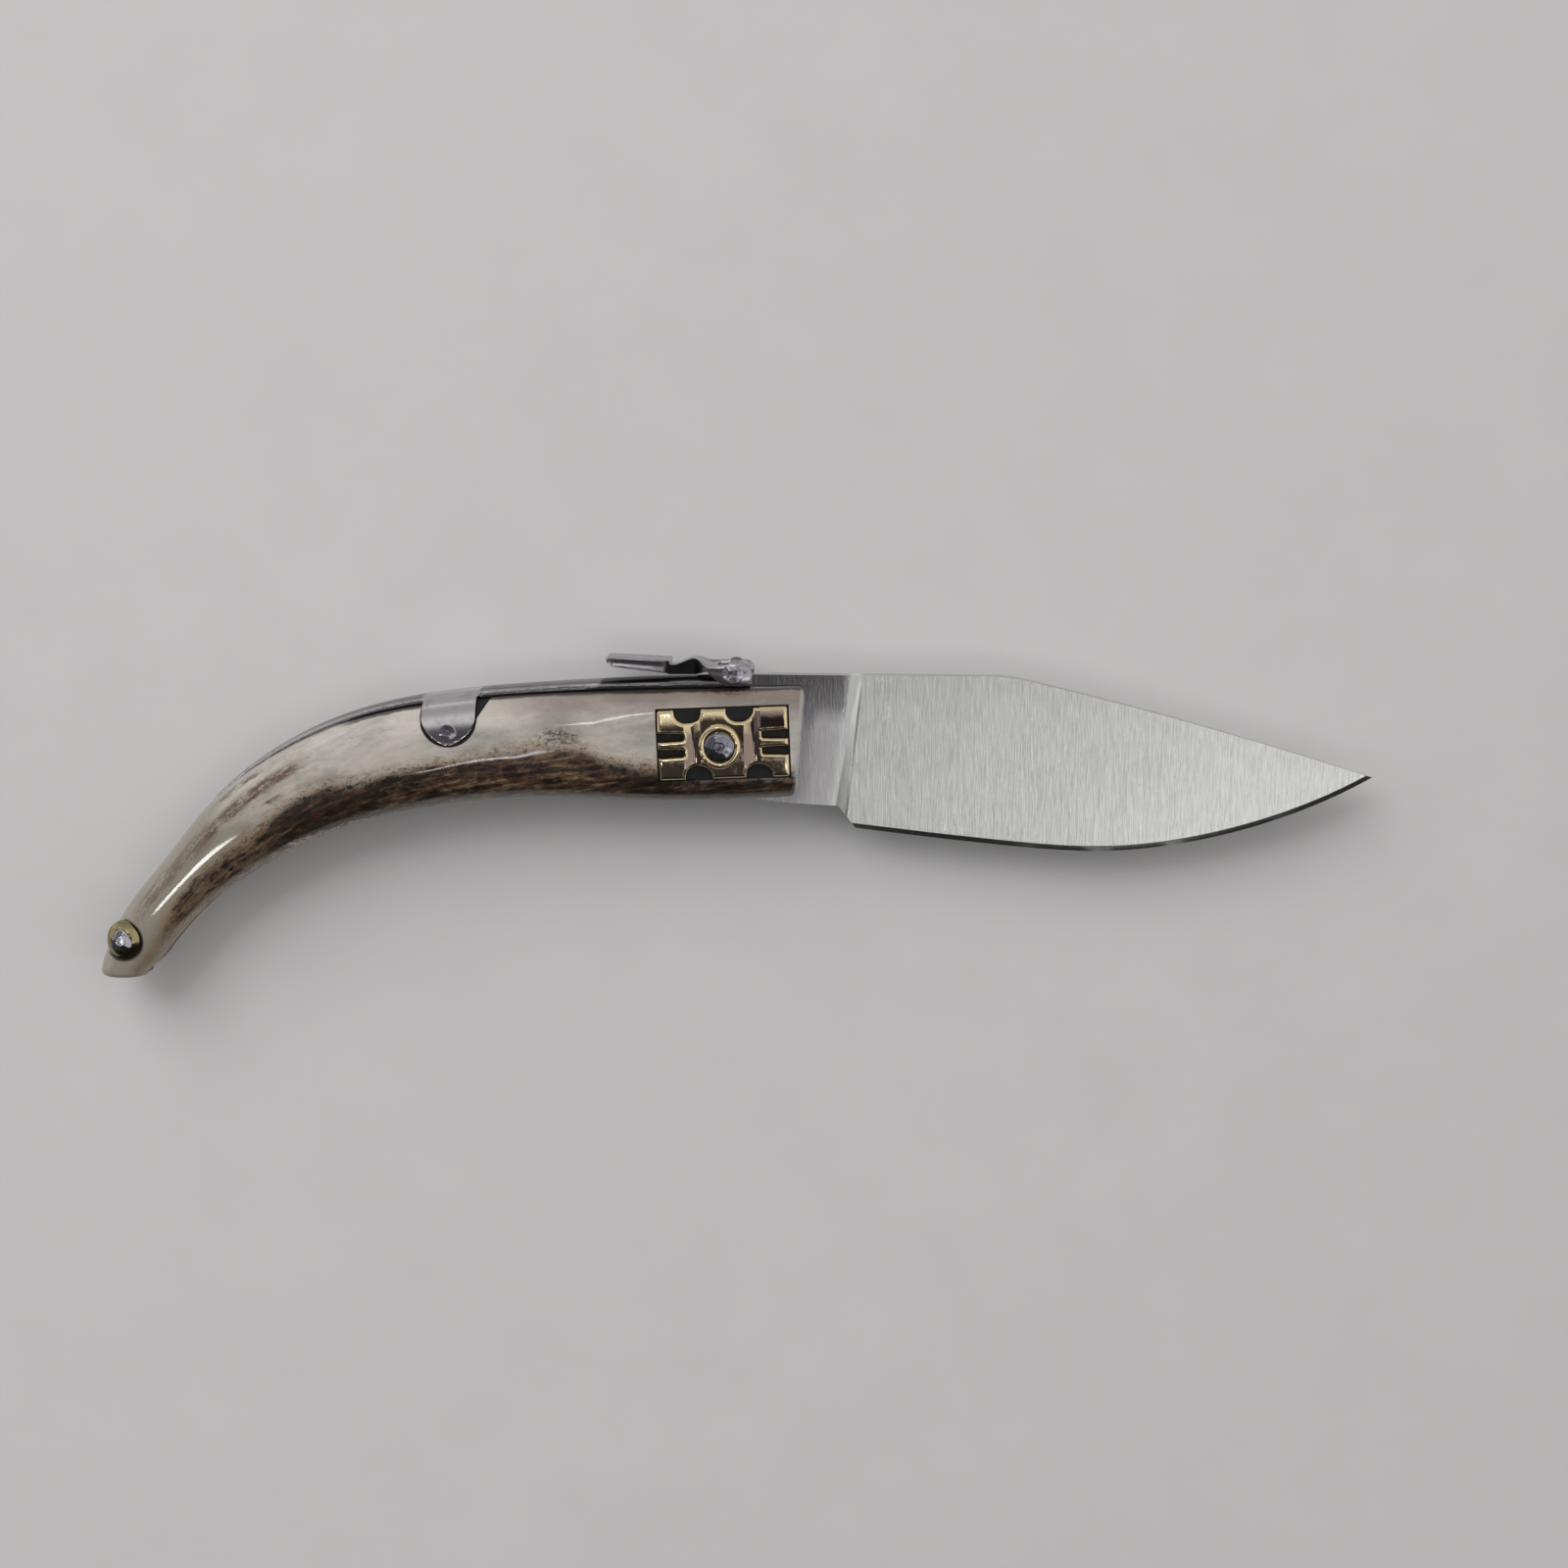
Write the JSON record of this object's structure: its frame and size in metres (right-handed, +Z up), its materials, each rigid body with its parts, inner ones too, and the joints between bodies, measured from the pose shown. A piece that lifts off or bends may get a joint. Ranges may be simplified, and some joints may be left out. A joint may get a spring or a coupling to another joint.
{
  "type": "folding pocket knife",
  "caption": "Lever-lock folding knife: clip-point blade in a slotted, curved antler handle, with an outside back spring, a release lever and riveted brass bolster plates.",
  "frame": {"origin": "on the blade's pivot axis, at the flat of the lower pivot rivet that the knife lies on", "axes": "+X from the butt to the tip, +Y from the belly to the back, +Z up through the knife's thickness"},
  "size_m": [0.2084, 0.0533, 0.0156],
  "materials": {
    "antler": "polished stag antler, pale grey beige with a dark brown bark band along the belly",
    "blade_steel": "satin steel with fine brush lines across the blade",
    "polished_steel": "bright polished spring steel with hand-filed marks",
    "rivet_steel": "hammered bright steel rivet",
    "brass": "polished brass with file marks",
    "bedding": "black pitch filler"
  },
  "bodies": {
    "handle": {"handle": "antler", "spring_pin": "rivet_steel", "pivot_pin": "rivet_steel", "butt_pin": "rivet_steel", "right_bolster_plate": "brass", "right_plate_bedding": "bedding", "right_ear_bedding": "bedding", "right_pivot_ring": "brass", "right_butt_washer": "brass", "left_bolster_plate": "brass", "left_plate_bedding": "bedding", "left_ear_bedding": "bedding", "left_pivot_ring": "brass", "left_butt_washer": "brass"},
    "blade": {"blade": "blade_steel"},
    "spring": {"back_spring": "polished_steel"},
    "lever": {"lever": "polished_steel", "lever_pin": "rivet_steel"}
  },
  "joints": [
    {"name": "blade_fold", "type": "hinge", "parent": "handle", "child": "blade", "pos_m": [0, 0, 0.00781], "axis": [0, 0, -1], "range_deg": [0, 156.3]},
    {"name": "spring_lift", "type": "hinge", "parent": "handle", "child": "spring", "pos_m": [-0.0436, 0.0022, 0.00781], "axis": [0, 0, 1], "range_deg": [0, 1.6], "stiffness_Nm_per_rad": 0.1, "deforming": ["back_spring"]},
    {"name": "lever_turn", "type": "hinge", "parent": "spring", "child": "lever", "pos_m": [0.0021, 0.0114, 0.00781], "axis": [0, 0, -1], "range_deg": [0, 32], "stiffness_Nm_per_rad": 0.02}
  ],
  "couplings": [
    {"joint": "spring_lift", "follows": "lever_turn", "ratio": 0.05}
  ]
}
